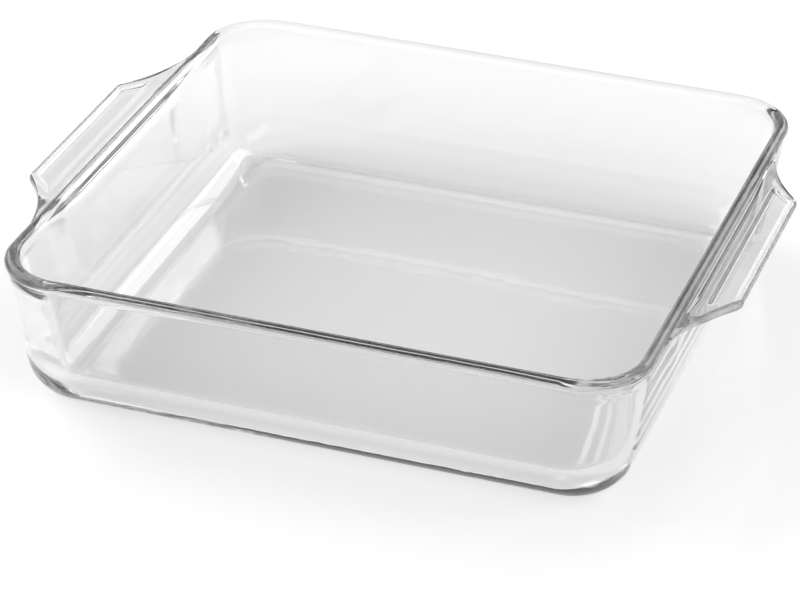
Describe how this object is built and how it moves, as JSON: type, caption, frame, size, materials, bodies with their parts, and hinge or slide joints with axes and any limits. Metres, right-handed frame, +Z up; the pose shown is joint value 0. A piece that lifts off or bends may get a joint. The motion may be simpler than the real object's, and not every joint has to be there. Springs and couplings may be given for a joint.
{
  "type": "glass baking dish",
  "caption": "Square clear glass baking dish with drafted walls, rounded corners, a beaded rim and flat lug handles on opposite sides.",
  "frame": {"origin": "middle of the dish, at the height of the surface it stands on", "axes": "+Z up, X through both handles, Y along the grip edges of the handles"},
  "size_m": [0.2436, 0.213, 0.0496],
  "materials": {
    "clear_glass": "clear, smooth and glossy, as pressed and fire polished"
  },
  "bodies": {
    "root": {"baking_dish": "clear_glass"}
  },
  "joints": []
}
